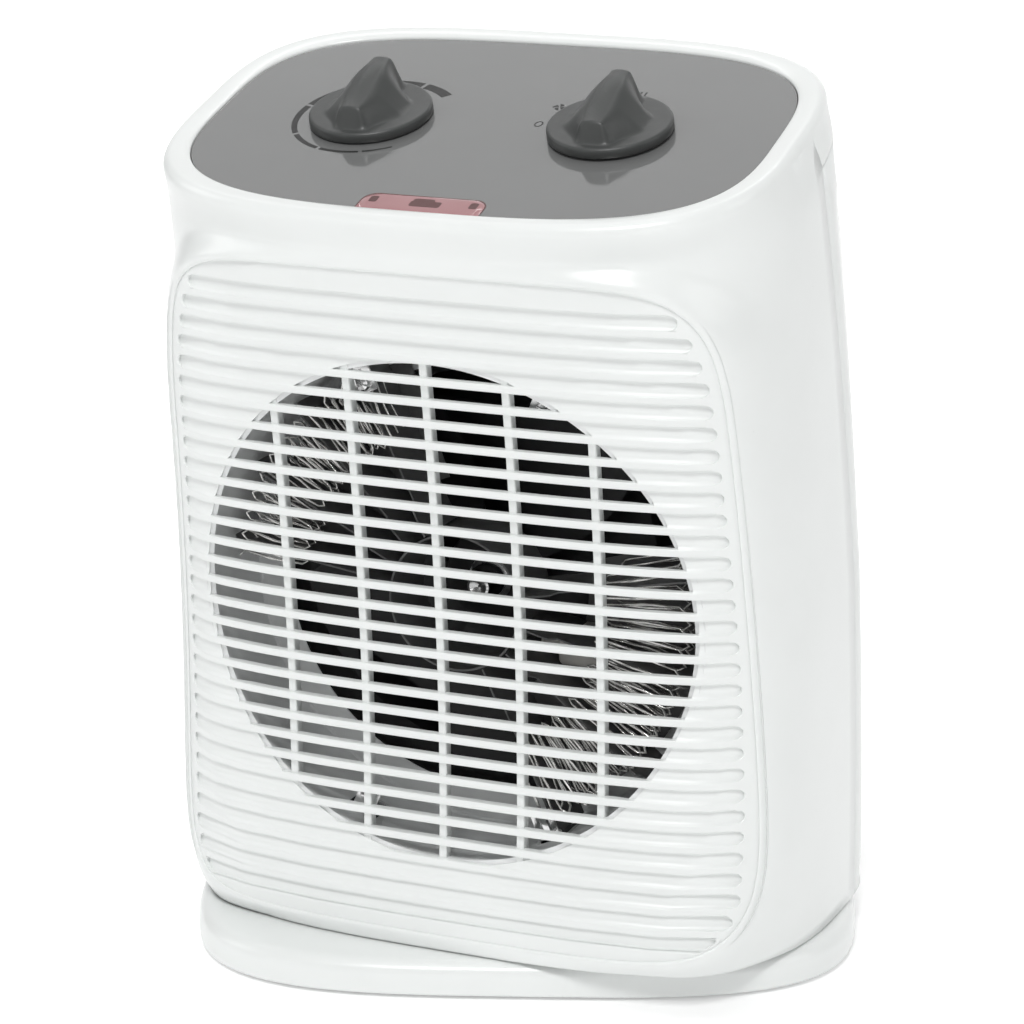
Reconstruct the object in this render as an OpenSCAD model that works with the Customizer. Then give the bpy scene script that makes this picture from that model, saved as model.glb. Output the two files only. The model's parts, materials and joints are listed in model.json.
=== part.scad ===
// Oscillating fan convector heater.
// The body swivels on an oval base about the Z axis. The origin is on that axis, on the
// surface the heater stands on. The front grille faces -Y.

/* [Overall] */
// Height of the centre of the front grille above the floor
grille_z = 115.2; // [113:0.1:118]
// Turn of the base under the body in the rest pose, in degrees
base_turn = 20.7; // [-30:0.1:30]
// Height of the body's lower edge
body_bottom = 11.9; // [11.8:0.1:12.4]
// Wall thickness of the two casing shells
wall = 2.4; // [2:0.1:2.8]

/* [Body outline] */
// Half width of the body at the grille's centre
body_half_w = 100; // [98:0.5:102]
// Place of the front face at the grille's centre, in front of the swivel axis
front_y = -69.4; // [-71:0.1:-68]
// Place of the back face at the grille's centre
back_y = 44.5; // [42:0.5:47]
// Forward lean of the front face, in millimetres per millimetre of height
front_lean = 0.081; // [0.07:0.001:0.09]
// Radius of the hollow bow of the front face, seen from the side
front_bow = 661; // [600:1:800]
// Forward lean of the back face, in millimetres per millimetre of height
back_lean = 0.105; // [0.09:0.001:0.12]

/* [Control top] */
// Tilt of the control top, in degrees, rear edge up
top_tilt = 17.36; // [16:0.1:19]
// Centre of the control top, from the swivel axis
top_y = -30.2; // [-31:0.1:-29]
// Height of the centre of the control top
top_z = 251; // [250:0.1:252]
// Half width of the control panel
panel_half_w = 85.6; // [84:0.1:87]
// Half depth of the control panel, along its slope
panel_half_d = 54.8; // [53:0.1:56]
// Depth of the control panel below the rim
panel_recess = 1.3; // [1:0.1:2]
// Distance of each knob's axis from the middle plane
knob_x = 37.1; // [35:0.1:40]
// Distance of the knob axes behind the panel's centre
knob_y = 0; // [-3:0.1:3]
// Radius of a knob's skirt
knob_r = 18.1; // [17:0.1:19]

/* [Grille] */
// Pitch of the grille's grooves
pitch = 6.4; // [6.2:0.1:6.6]
// Height of one rib
rib_h = 3.1; // [2.8:0.1:3.4]
// Radius of the round outlet in the grille
outlet_r = 77; // [75:0.5:78]
// Distance between the upright bars
bar_step = 24.4; // [23:0.1:25]

/* [Fan and heater] */
// Outer radius of the fan
fan_r = 62; // [58:0.5:63]
// Number of fan blades
blade_count = 5; // [3:1:7]
// Radius of the heat shield round the heater
duct_r = 76.4; // [75:0.1:77]
// Length of each of the two arcs of heating wire, in degrees
element_arc = 92; // [80:1:100]

/* [Base] */
// Half width of the base
base_half_w = 101; // [98:0.5:103]
// Half depth of the base
base_half_d = 74.5; // [72:0.5:77]
// Height of the base's upper face
base_top = 11.4; // [11.2:0.1:11.4]
// Height of the rubber feet below the base
foot_h = 1.2; // [1:0.1:1.5]
// Radius of the swivel neck
neck_r = 12; // [11:0.1:12.5]
// Radial clearance of the swivel neck in its bore
neck_clearance = 0.06; // [0.03:0.01:0.1]
// Distance of the crank's axis behind the swivel axis
crank_y = 24; // [23:0.1:25]
// Half of the whole swing, in degrees
swing_half = 35; // [30:1:35]

/* [Hidden] */

plastic_white = [0.93, 0.94, 0.94];
plastic_grey = [0.58, 0.58, 0.58];
plastic_dark = [0.33, 0.34, 0.34];
steel = [0.72, 0.73, 0.74];

// Exponents of the body's oval, front low, front high and back
front_exp_low = 3.1;
front_exp_high = 2.7;
back_exp = 3.4;
// Exponents of the control top's oval, front and back
top_exp_front = 3.14;
top_exp_back = 3.57;
base_exp = 3.45;

// Shape of the grille insert: centre height, half height, half width, taper and exponent
insert_z = grille_z + 1.6;
insert_half_h = 100.6;
insert_half_w = 90.4;
insert_taper = 0.045;
insert_exp = 8.5;
// Width of the raised lip round the insert, where it has faded out, and its height above the ribs
lip_w = 1.6;
lip_fade = 8.2;
lip_proud = 0.5;
gap = 0.35;

// Angle of the side seam on the body's oval, and depth of the rim below the top's plane
seam_t = 2.2;
rim_drop = 13;

// Swivel: positions along Z
floor_t = 2.5;
base_plate_t = 1.8;
base_lid_t = 2.2;
clamp_z = 7;
crank_r = crank_y * sin(swing_half);
crank_pin_r = 1.75;
crank_disc_r = crank_r + 4;
crank_z = body_bottom + 1;
crank_disc_t = 3;
pocket_h = 7;
// The crank runs 90 degrees past its middle when the body reaches the end of its swing
crank_ratio = (90 + swing_half) / swing_half;

// Fan and heater: positions along Y
fan_y = -20;
fan_depth = 17;
duct_front = -58;
duct_back = -32;
motor_front = 4;
shaft_r = 2.5;

// ---------- curves ----------

function signed_pow(v, e) = sign(v) * pow(abs(v), e);

// A point of an oval whose front and back halves may differ, at angle t
function oval(t, half_w, front, back, exp_front, exp_back) =
  let (e = sin(t) < 0 ? 2 / exp_front : 2 / exp_back)
  [
    half_w * signed_pow(cos(t), e),
    (sin(t) < 0 ? front : back) * signed_pow(sin(t), e)
  ];

function body_front(z) =
  let (up = z - grille_z)
  front_y - front_lean * up - up * up / (2 * front_bow);
function body_back(z) = back_y - back_lean * (z - grille_z);
function body_half(z) =
  let (up = z - grille_z)
  body_half_w - 0.0168 * up - 0.000126 * up * up;
// Share of the depth at which the body is widest
function body_middle(z) = 0.656 - 0.00097 * max(0, z - grille_z);
function front_exp(z) =
  front_exp_low + (front_exp_high - front_exp_low) * min(1, max(0, z / 230));

// A point of the body's level outline at height z, inset into the body
function body_point(t, z, inset = 0) =
  let (
    front = body_front(z) + inset,
    back = body_back(z) - inset,
    middle = front + (back - front) * body_middle(z),
    p = oval(t, body_half(z) - inset, middle - front, back - middle, front_exp(z), back_exp)
  )
  [p.x, middle + p.y, z];

// A point in the tilted plane of the control top, h above it
function top_point(x, y, h) = [
  x,
  top_y + y * cos(top_tilt) - h * sin(top_tilt),
  top_z + y * sin(top_tilt) + h * cos(top_tilt)
];
// A point of the control top's outline, grown by d and raised by h
function top_oval(t, d, h) =
  let (p = oval(t, panel_half_w + d, panel_half_d + d, panel_half_d + d, top_exp_front, top_exp_back))
  top_point(p.x, p.y, h);

// Front surface of the ribs
function grille_bow(x) = x * x / 3757 + 1.335e-7 * pow(x, 4);
function grille_front(x, z) = body_front(z) + grille_bow(x);

function insert_w(z, grow = 0) = insert_half_w - insert_taper * (z - insert_z) + grow;
// Half height of the insert's outline at x
function insert_h(x, grow = 0) =
  let (u = min(0.97, abs(x) / (insert_half_w + grow)))
  (insert_half_h + grow) * pow(1 - pow(u, insert_exp), 1 / insert_exp);

// ---------- solids from curves ----------

// A thick sheet on a grid. outer[i][j] and inner[i][j] are its faces, i round, j up, and
// solid[i][j] tells whether the cell from i, j to i + 1, j + 1 is filled.
module thick_grid(outer, inner, solid, closed = false) {
  columns = len(outer);
  rows = len(outer[0]);
  cells = closed ? columns : columns - 1;
  function at(i, j, side) = side * columns * rows + (i % columns) * rows + j;
  function filled(i, j) =
    j < 0 || j > rows - 2 ? false
    : closed ? solid[(i + columns) % columns][j]
    : i < 0 || i > cells - 1 ? false
    : solid[i][j];
  quads = [
    for (i = [0:cells - 1])
    for (j = [0:rows - 2])
    if (filled(i, j))
    each [
      [at(i, j, 0), at(i + 1, j, 0), at(i + 1, j + 1, 0), at(i, j + 1, 0)],
      [at(i, j, 1), at(i, j + 1, 1), at(i + 1, j + 1, 1), at(i + 1, j, 1)],
      if (!filled(i - 1, j)) [at(i, j, 1), at(i, j, 0), at(i, j + 1, 0), at(i, j + 1, 1)],
      if (!filled(i + 1, j))
        [at(i + 1, j, 0), at(i + 1, j, 1), at(i + 1, j + 1, 1), at(i + 1, j + 1, 0)],
      if (!filled(i, j - 1)) [at(i, j, 1), at(i + 1, j, 1), at(i + 1, j, 0), at(i, j, 0)],
      if (!filled(i, j + 1))
        [at(i, j + 1, 1), at(i, j + 1, 0), at(i + 1, j + 1, 0), at(i + 1, j + 1, 1)]
    ]
  ];
  faces = [
    for (q = quads)
    each [[q[2], q[1], q[0]], [q[3], q[2], q[0]]]
  ];
  polyhedron(concat([for (c = outer) each c], [for (c = inner) each c]), faces, convexity = 8);
}

// A solid through a stack of closed rings
module ring_stack(rings) {
  n = len(rings[0]);
  top = len(rings) - 1;
  sides = [
    for (j = [0:top - 1])
    for (i = [0:n - 1])
    let (a = j * n + i, b = j * n + (i + 1) % n)
    each [[a, a + n, b], [b, a + n, b + n]]
  ];
  polyhedron(
    [for (r = rings) each r],
    concat(sides, [[for (i = [0:n - 1]) i]], [[for (i = [n - 1:-1:0]) top * n + i]]),
    convexity = 4
  );
}

module top_frame(x = 0, y = 0, h = 0) {
  translate(top_point(x, y, h)) rotate([top_tilt, 0, 0]) children();
}

module base_frame() {
  rotate([0, 0, base_turn]) children();
}

// A cylinder along Y, from y0 to y1
module along_y(r, y0, y1) {
  translate([0, y0, grille_z]) rotate([-90, 0, 0]) cylinder(r = r, h = y1 - y0, $fn = 96);
}

// ---------- base ----------

function base_outline(inset, n = 96) = [
  for (i = [0:n - 1])
  oval(i * 360 / n, base_half_w - inset, base_half_d - inset, base_half_d - inset, base_exp, base_exp)
];

base_screw_places = [[-78, -40], [78, -40], [-78, 40], [78, 40]];
foot_places = [[-72, -50], [72, -50], [-72, 50], [72, 50]];

module base_shell() {
  // Height and inset of each ring of the rounded shoulder
  profile = [[foot_h, 0.6], [foot_h + 0.6, 0], [8.2, 0], [9.7, 0.45], [10.9, 1.7], [base_top, 3.6]];
  color(plastic_white) base_frame() {
    difference() {
      ring_stack([for (p = profile) [for (q = base_outline(p[1], 72)) [q.x, q.y, p[0]]]]);
      linear_extrude(base_top - base_lid_t) polygon(base_outline(wall, 72));
      cylinder(r = neck_r + neck_clearance, h = 20, $fn = 96);
      crank_slot();
      translate([0, 0, base_top - 0.9]) ring_cut(55.8, 50.2);
    }
    for (p = base_screw_places)
      translate([p.x, p.y, foot_h + base_plate_t]) difference() {
        cylinder(r = 4, h = base_top - base_lid_t - foot_h - base_plate_t + 0.5, $fn = 32);
        translate([0, 0, -1]) cylinder(r = 1.3, h = 6, $fn = 24);
      }
  }
}

// The slot in the base lid that guides the crank pin; the body's rest pose is turned in it
module crank_slot() {
  inner = crank_y * cos(swing_half) - 3;
  outer = crank_y + crank_r + 3;
  translate([-4.9, inner, -1]) cube([9.8, outer - inner, 30]);
}

module ring_cut(outer, inner) {
  difference() {
    cylinder(r = outer, h = 5, $fn = 96);
    translate([0, 0, -1]) cylinder(r = inner, h = 7, $fn = 96);
  }
}

module base_plate() {
  color(plastic_grey) base_frame() difference() {
    translate([0, 0, foot_h]) linear_extrude(base_plate_t) polygon(base_outline(wall + gap));
    for (p = base_screw_places)
      translate([p.x, p.y, 0]) {
        cylinder(r = 1.7, h = 10, $fn = 24);
        translate([0, 0, -1]) cylinder(r = 3.2, h = foot_h + 1.9, $fn = 24);
      }
    for (p = foot_places)
      translate([p.x, p.y, 0]) cylinder(r = 7.05, h = foot_h + 0.8, $fn = 48);
  }
}

module rubber_feet() {
  color([0.2, 0.2, 0.2]) base_frame()
    for (p = foot_places)
      translate([p.x, p.y, 0]) cylinder(r = 7, h = foot_h + 0.8, $fn = 48);
}

module swivel_ring() {
  color([0.85, 0.85, 0.82]) translate([0, 0, base_top - 0.85]) difference() {
    cylinder(r = 55.6, h = 1, $fn = 96);
    translate([0, 0, -1]) cylinder(r = 50.4, h = 4, $fn = 96);
  }
}

module base_screws() {
  color(steel) base_frame()
    for (p = base_screw_places)
      translate([p.x, p.y, 0]) {
        translate([0, 0, foot_h + 0.2]) cylinder(r = 2.9, h = 0.68, $fn = 24);
        translate([0, 0, foot_h + 0.2]) cylinder(r = 1.25, h = 6, $fn = 24);
      }
}

// ---------- body floor and swivel drive ----------

motor_clear = 0.2;
clamp_screw_places = [for (a = [30, 150, 270]) [10 * cos(a), 10 * sin(a)]];

module body_floor() {
  outline = [for (i = [0:71]) let (p = body_point(i * 5, body_bottom + 2, wall + gap)) [p.x, p.y]];
  pocket_top = body_bottom + pocket_h;
  color(plastic_white) difference() {
    union() {
      translate([0, 0, body_bottom]) linear_extrude(floor_t) polygon(outline);
      translate([0, crank_y, body_bottom]) cylinder(r = crank_disc_r + 3, h = pocket_h, $fn = 64);
      translate([0, 0, clamp_z + 1.8])
        cylinder(r = neck_r, h = body_bottom + floor_t - clamp_z - 1.8, $fn = 96);
    }
    translate([0, crank_y, body_bottom - 0.1])
      cylinder(r = crank_disc_r + 1, h = pocket_h - 1.9, $fn = 64);
    translate([0, crank_y, body_bottom]) cylinder(r = 3.6, h = 20, $fn = 32);
    translate([0, 0, 0]) cylinder(r = 7.5, h = body_bottom + floor_t - 1, $fn = 48);
    for (p = clamp_screw_places)
      translate([p.x, p.y, 0]) cylinder(r = 0.9, h = 13, $fn = 24);
  }
}

module swivel_clamp() {
  color(steel) translate([0, 0, clamp_z]) difference() {
    cylinder(r = 16.5, h = 1.8, $fn = 64);
    translate([0, 0, -1]) cylinder(r = 7.5, h = 4, $fn = 48);
    for (p = clamp_screw_places)
      translate([p.x, p.y, -1]) cylinder(r = 1.1, h = 4, $fn = 24);
  }
}

module clamp_screws() {
  color(steel)
    for (p = clamp_screw_places)
      translate([p.x, p.y, clamp_z - 1]) {
        cylinder(r = 1.9, h = 0.98, $fn = 24);
        cylinder(r = 0.85, h = 5.5, $fn = 24);
      }
}

module oscillation_motor() {
  can_z = body_bottom + pocket_h + motor_clear;
  color([0.82, 0.82, 0.8]) {
    translate([0, crank_y - 8, can_z]) cylinder(r = 24.5, h = 17, $fn = 64);
    translate([0, crank_y, crank_z + crank_disc_t + 0.05])
      cylinder(r = 3.4, h = can_z - crank_z - crank_disc_t + 1, $fn = 32);
  }
}

// The crank stands where its pin lies in the base's slot at the rest pose
module crank_disc() {
  color([0.9, 0.9, 0.86]) translate([0, crank_y, crank_z])
    rotate([0, 0, crank_ratio * base_turn]) {
      cylinder(r = crank_disc_r, h = crank_disc_t, $fn = 64);
      translate([0, crank_r, -7.5]) cylinder(r = crank_pin_r, h = 8, $fn = 32);
    }
}

// ---------- casing shells ----------

// Angle on the body's oval at which the front face is at x, at the grille's height
function front_angle(x) =
  -acos(signed_pow(x / body_half(grille_z), front_exp(grille_z) / 2));

// How much of the raised lip is left at distance d outside the insert
function lip_share(d) =
  d < lip_w ? 1 : d > lip_fade ? 0 : 0.5 + 0.5 * cos(180 * (d - lip_w) / (lip_fade - lip_w));
function insert_distance(x, z) =
  let (
    u = abs(x) / insert_w(z),
    v = abs(z - insert_z) / insert_half_h
  )
  (pow(pow(u, insert_exp) + pow(v, insert_exp), 1 / insert_exp) - 1) * 95;

// A point of the front casing, raised to the lip near the grille
function casing_point(t, z, inset = 0) =
  let (
    p = body_point(t, z, inset),
    share = sin(t) < 0 ? lip_share(insert_distance(p.x, z)) : 0,
    lip_y = grille_front(p.x, z) - lip_proud + inset
  )
  [p.x, p.y + min(0, lip_y - p.y) * share, z];

// Columns of the front casing: close together beside the grille opening's edge
right_x = [15, 44, 66, 78, 84, 88, 90, 92, 94, 96, 98];
opening_steps = 6;
front_angles = [for (x = right_x) front_angle(x) + 360];
front_columns = concat(
  [180 - seam_t, 184, 189],
  [for (k = [len(right_x) - 1:-1:0]) 540 - front_angles[k]],
  front_angles,
  [351, 356, 360 + seam_t]
);
opening_columns = [len(front_columns) / 2 - opening_steps - 1, len(front_columns) / 2 + opening_steps - 1];
back_columns = [for (k = [1:17]) 360 + seam_t + k * (180 - 2 * seam_t) / 18];
shell_columns = concat(front_columns, back_columns);

// Heights of the opening's lower and upper edges at angle t
function opening_half(t) =
  let (x = body_point(t, grille_z).x)
  insert_h(x, gap);

// Heights of the rows at angle t: under the opening, beside it and above it
function row_heights(t) =
  let (
    half = opening_half(t),
    low = insert_z - half,
    high = insert_z + half,
    shoulder = top_oval(t, 7.6, -2.4).z - 9
  )
  concat(
    [body_bottom, min(low - 1.2, body_bottom + 2)],
    [for (k = [0:8]) low + (high - low) * k / 8],
    [for (k = [1:6]) high + (shoulder - high) * k / 6]
  );
opening_rows = [2, 9];

function shell_outer(t) = concat(
  [for (z = row_heights(t)) casing_point(t, z)],
  [top_oval(t, 7.6, -2.4), top_oval(t, 5, 0.8), top_oval(t, 0.6, 0.3), top_oval(t, 0.3, -3.8),
    top_oval(t, -4, -3.8)]
);
function shell_inner(t) = concat(
  [for (z = row_heights(t)) casing_point(t, z, wall)],
  [top_oval(t, 5, -4.6), top_oval(t, 3.6, -2.4), top_oval(t, 2.9, -2.6), top_oval(t, 2.3, -5.8),
    top_oval(t, -4, -5.8)]
);
row_total = 22;
rim_row = 16;

module front_shell() {
  columns = len(shell_columns);
  fronts = len(front_columns) - 1;
  function in_opening(i, j) =
    i >= opening_columns[0] && i <= opening_columns[1] && j >= opening_rows[0] && j <= opening_rows[1];
  cells = [
    for (i = [0:columns - 1])
    [for (j = [0:row_total - 2]) i < fronts ? !in_opening(i, j) : j >= rim_row]
  ];
  color(plastic_white)
    thick_grid([for (t = shell_columns) shell_outer(t)], [for (t = shell_columns) shell_inner(t)],
      cells, closed = true);
}

// Places a piece in the tilted back face, its axis through the grille's centre
module back_frame() {
  translate([0, back_y, grille_z]) rotate([atan(back_lean), 0, 0]) children();
}

intake_r = 56;
module rear_shell() {
  columns = [for (k = [0:24]) seam_t + 0.25 + k * (180 - 2 * seam_t - 0.5) / 24];
  function heights(t) =
    let (shoulder = top_oval(t, 7.6, -2.4).z - 9 - gap)
    [for (k = [0:9]) body_bottom + (shoulder - body_bottom) * k / 9];
  color(plastic_white) difference() {
    thick_grid([for (t = columns) [for (z = heights(t)) body_point(t, z)]],
      [for (t = columns) [for (z = heights(t)) body_point(t, z, wall)]],
      [for (i = [0:23]) [for (j = [0:8]) true]]);
    gland_hole(5.05);
    back_frame() translate([0, -20, 0]) rotate([-90, 0, 0]) cylinder(r = intake_r, h = 40, $fn = 96);
  }
}

gland_x = 62;
gland_z = 30;
module gland_hole(r) {
  translate([gland_x, 20, gland_z]) rotate([-90, 0, 0]) cylinder(r = r, h = 60, $fn = 48);
}

casing_screw_places = [[-84, 30, 28], [84, 30, 28], [-80, 4, 205], [80, 4, 205]];
module casing_screws() {
  color(steel)
    for (p = casing_screw_places)
      translate(p) rotate([90, 0, 0]) {
        cylinder(r = 1.5, h = 14, $fn = 24);
        cylinder(r = 3, h = 1.8, $fn = 24);
      }
}

// ---------- grilles ----------

rib_count = 25;
module front_grille() {
  plate_columns = [for (i = [opening_columns[0]:opening_columns[1] + 1]) front_columns[i]];
  // A point of the plate at angle t, a distance behind the ribs' front surface
  function plate_point(t, k, depth) =
    let (
      half = insert_h(body_point(t, grille_z).x),
      z = insert_z - half + 2 * half * k / 8,
      x = body_point(t, z, depth + lip_proud).x * (1 - gap / insert_half_w)
    )
    [x, grille_front(x, z) + depth, z];
  strip = concat(
    [for (x = [-78:6:78]) [x, grille_bow(x) + 0.9]],
    [for (x = [78:-6:-78]) [x, grille_bow(x) + 3.4]]
  );
  color(plastic_white) {
    difference() {
      thick_grid([for (t = plate_columns) [for (k = [0:8]) plate_point(t, k, 0.6)]],
        [for (t = plate_columns) [for (k = [0:8]) plate_point(t, k, 3.8)]],
        [for (i = [0:len(plate_columns) - 2]) [for (j = [0:7]) true]]);
      translate([0, -120, grille_z]) rotate([-90, 0, 0]) cylinder(r = outlet_r, h = 100, $fn = 96);
    }
    intersection() {
      for (k = [0:rib_count - 1]) {
        z = grille_z + (k - (rib_count - 1) / 2) * pitch;
        translate([0, body_front(z), z - rib_h / 2]) linear_extrude(rib_h) polygon(strip);
      }
      translate([0, -120, grille_z]) rotate([-90, 0, 0]) cylinder(r = outlet_r + 0.8, h = 100, $fn = 96);
    }
    for (k = [-2:2]) upright_bar(k * bar_step);
  }
}

// An upright bar behind the ribs, as long as the round outlet at its place
module upright_bar(x) {
  half = sqrt(pow(outlet_r, 2) - x * x) + 0.6;
  steps = 6;
  heights = [for (i = [0:steps]) grille_z - half + 2 * half * i / steps];
  side = concat(
    [for (z = heights) [body_front(z) + grille_bow(x) + 1.3, z]],
    [for (i = [steps:-1:0]) [body_front(heights[i]) + grille_bow(x) + 5, heights[i]]]
  );
  translate([x + 1.1, 0, 0]) rotate([90, 0, -90]) mirror([1, 0, 0]) linear_extrude(2.2) polygon(side);
}

// Round guard in the back opening, tilted with the back face
module intake_grille() {
  color(plastic_white) back_frame() {
    difference() {
      translate([0, -4.6, 0]) rotate([-90, 0, 0]) cylinder(r = intake_r - 0.2, h = 3.4, $fn = 96);
      translate([0, -6, 0]) rotate([-90, 0, 0]) cylinder(r = intake_r - 4.5, h = 8, $fn = 96);
    }
    intersection() {
      translate([0, -4.2, 0]) rotate([-90, 0, 0]) cylinder(r = intake_r - 4, h = 2.6, $fn = 96);
      union() {
        for (k = [-7:7]) translate([-60, -6, k * 6.8 - 1.5]) cube([120, 6, 3]);
        for (x = [-25, 0, 25]) translate([x - 1.5, -6, -60]) cube([3, 6, 120]);
      }
    }
  }
}

// ---------- control top ----------

lens_half_w = 19.6;
lens_front = -52.8;
lens_back = -42.4;
panel_t = 2.2;

module rounded_plate(half_w, front, back, r, h) {
  linear_extrude(h) {
    translate([-half_w + r, front]) square([2 * (half_w - r), back - front]);
    translate([-half_w, front + r]) square([2 * half_w, back - front - 2 * r]);
    for (x = [-half_w + r, half_w - r])
      for (y = [front + r, back - r])
        translate([x, y]) circle(r = r, $fn = 32);
  }
}

module control_panel() {
  outline = [
    for (i = [0:95])
    oval(i * 3.75, panel_half_w - 0.2, panel_half_d - 0.2, panel_half_d - 0.2, top_exp_front, top_exp_back)
  ];
  color(plastic_grey) top_frame(h = -panel_recess - panel_t) difference() {
    linear_extrude(panel_t) polygon(outline);
    for (x = [-knob_x, knob_x])
      translate([x, knob_y, -1]) cylinder(r = 3.6, h = 5, $fn = 48);
    translate([0, 0, -1]) rounded_plate(lens_half_w, lens_front, lens_back, 2.5, 5);
  }
}

module indicator_lens() {
  color([0.85, 0.55, 0.58]) top_frame(h = -panel_recess - panel_t)
    rounded_plate(lens_half_w - 0.1, lens_front + 0.1, lens_back - 0.1, 2.4, panel_t + 0.1);
}

module pilot_lamp() {
  color([0.9, 0.5, 0.4]) top_frame(y = (lens_front + lens_back) / 2, h = -panel_recess - panel_t - 4.5)
    rotate([0, 90, 0]) translate([0, 0, -7]) {
      cylinder(r = 3, h = 11, $fn = 32);
      sphere(r = 3, $fn = 24);
      translate([0, 0, 11]) cylinder(r = 3.4, h = 3, $fn = 32);
    }
}

// A knob with a round skirt and a tall grip across it, its hub bored for the shaft
module knob(stand_off) {
  skirt_h = 3.2;
  grip_half = 15.5;
  translate([0, 0, stand_off]) difference() {
    union() {
      cylinder(r = knob_r, h = skirt_h - 1, $fn = 96);
      translate([0, 0, skirt_h - 1]) cylinder(r1 = knob_r, r2 = knob_r - 1.6, h = 1.6, $fn = 96);
      hull() {
        translate([-5.5, -grip_half, 1]) cube([11, 2 * grip_half, 1]);
        translate([-2.6, -grip_half + 0.8, 11]) cube([5.2, 2 * grip_half - 2.2, 2.6]);
      }
    }
    translate([0, 0, -1]) cylinder(r = 2.95, h = 8.5, $fn = 48);
  }
}

module knob_shaft(stand_off) {
  translate([0, 0, -9]) cylinder(r = 2.95, h = 9 + stand_off + 7.3, $fn = 48);
}

thermostat_stand_off = 0.9;
selector_stand_off = 1.5;

module thermostat_knob() {
  color(plastic_dark) top_frame(-knob_x, knob_y, -panel_recess) knob(thermostat_stand_off);
}
module thermostat_shaft() {
  color(steel) top_frame(-knob_x, knob_y, -panel_recess) knob_shaft(thermostat_stand_off);
}
module selector_knob() {
  color(plastic_dark) top_frame(knob_x, knob_y, -panel_recess) knob(selector_stand_off);
}
module selector_shaft() {
  color(steel) top_frame(knob_x, knob_y, -panel_recess) knob_shaft(selector_stand_off);
}

// A control body below the panel, with the bush that its shaft turns in
module control_body(half_x, half_y, h) {
  top = -panel_t - 0.3;
  difference() {
    union() {
      translate([-half_x, -half_y, top - 1.5 - h]) cube([2 * half_x, 2 * half_y, h]);
      translate([0, 0, top - 1.6]) cylinder(r = 7, h = 1.6, $fn = 48);
    }
    translate([0, 0, -9.2]) cylinder(r = 3.0, h = 12, $fn = 48);
  }
}

module thermostat() {
  color([0.75, 0.72, 0.6]) top_frame(-knob_x, knob_y, -panel_recess) control_body(12, 10, 13);
}
module rotary_switch() {
  color([0.25, 0.25, 0.25]) top_frame(knob_x, knob_y, -panel_recess) control_body(15, 15, 16);
}

// ---------- heater and fan ----------

module heater_duct() {
  color([0.72, 0.73, 0.73]) difference() {
    along_y(duct_r, duct_front, duct_back);
    along_y(duct_r - 0.8, duct_front - 1, duct_back - 0.8);
    along_y(fan_r + 4, duct_front, duct_back + 5);
  }
}

card_front = -57;
card_back = -34;
card_inner = 20;
card_outer = duct_r - 1.2;
// The two arcs face each other across the fan's axis
element_middles = [-30, 150];
card_angles = [for (m = element_middles) for (k = [0:3]) m + (k - 1.5) * (element_arc - 4) / 3];

// Cards stand like spokes in the two arcs, joined by a ring of the same sheet
module mica_boards() {
  color([0.78, 0.75, 0.66]) {
    for (a = card_angles)
      translate([0, 0, grille_z]) rotate([0, -a, 0])
        translate([card_inner, card_front, -0.25])
          cube([card_outer - card_inner, card_back - card_front, 0.5]);
    difference() {
      along_y(card_inner + 0.6, card_front, card_back);
      along_y(card_inner, card_front - 1, card_back + 1);
    }
  }
}

wire_radii = [34, 49, 64];
wire_layers = [-52, -40];
wire_r = 1.1;
// The two arcs of wire, as round bars clear of the cards' edges
module heating_wire() {
  color([0.55, 0.53, 0.5])
    for (y = wire_layers)
      for (r = wire_radii)
        for (m = element_middles)
          translate([0, y, grille_z]) rotate([90, 0, 0]) difference() {
            rotate([0, 0, m - element_arc / 2]) rotate_extrude(angle = element_arc, $fn = 64)
              translate([r, 0]) circle(r = wire_r, $fn = 16);
            for (a = card_angles)
              rotate([0, 0, a]) translate([r - 3, -0.4, -2]) cube([6, 0.8, 4]);
          }
}

// Between the mica cards
bracket_angles = [66, 114, 246, 294];
module element_brackets() {
  color(steel)
    for (a = bracket_angles)
      translate([0, 0, grille_z]) rotate([0, -a, 0])
        translate([duct_r - 14, duct_front + 1, -5]) {
          cube([12.8, 1, 10]);
          translate([11.8, 0, 0]) cube([1, 9, 10]);
        }
}

// Ceramic block between two mica cards, with a metal tab at each end
module thermal_cutout() {
  color([0.95, 0.95, 0.92]) translate([0, card_back, grille_z]) rotate([0, 30, 0]) {
    translate([24, -4.2, -4.5]) cube([16, 4.6, 9]);
    translate([20.65, -2.5, -2]) cube([3.4, 0.8, 4]);
    translate([39.9, -2.5, -2]) cube([8, 0.8, 4]);
  }
}

module fan_impeller() {
  color([0.2, 0.21, 0.21]) {
    difference() {
      along_y(15, fan_y - fan_depth / 2, fan_y + fan_depth / 2);
      along_y(shaft_r + 0.005, fan_y - 40, fan_y + 40);
      along_y(12, fan_y - 2, fan_y + 20);
    }
    difference() {
      along_y(5.5, fan_y - 3, fan_y + fan_depth / 2);
      along_y(shaft_r + 0.005, fan_y - 40, fan_y + 40);
    }
    intersection() {
      difference() {
        along_y(fan_r, fan_y - fan_depth, fan_y + fan_depth);
        along_y(14.5, fan_y - fan_depth - 1, fan_y + fan_depth + 1);
      }
      for (k = [0:blade_count - 1])
        translate([0, fan_y, grille_z]) rotate([0, k * 360 / blade_count, 0])
          translate([0, 0, 38]) rotate([0, 0, 36]) translate([-19, -0.7, -26]) cube([38, 1.4, 52]);
    }
  }
}

module impeller_nut() {
  back = fan_y - fan_depth / 2 - 0.05;
  color(steel) difference() {
    union() {
      along_y(6.5, back - 8, back);
      translate([0, back - 7, grille_z]) rotate([90, 0, 0]) cylinder(r1 = 5.6, r2 = 3.4, h = 4, $fn = 48);
    }
    along_y(shaft_r + 0.005, back - 5, back + 1);
  }
}

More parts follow.
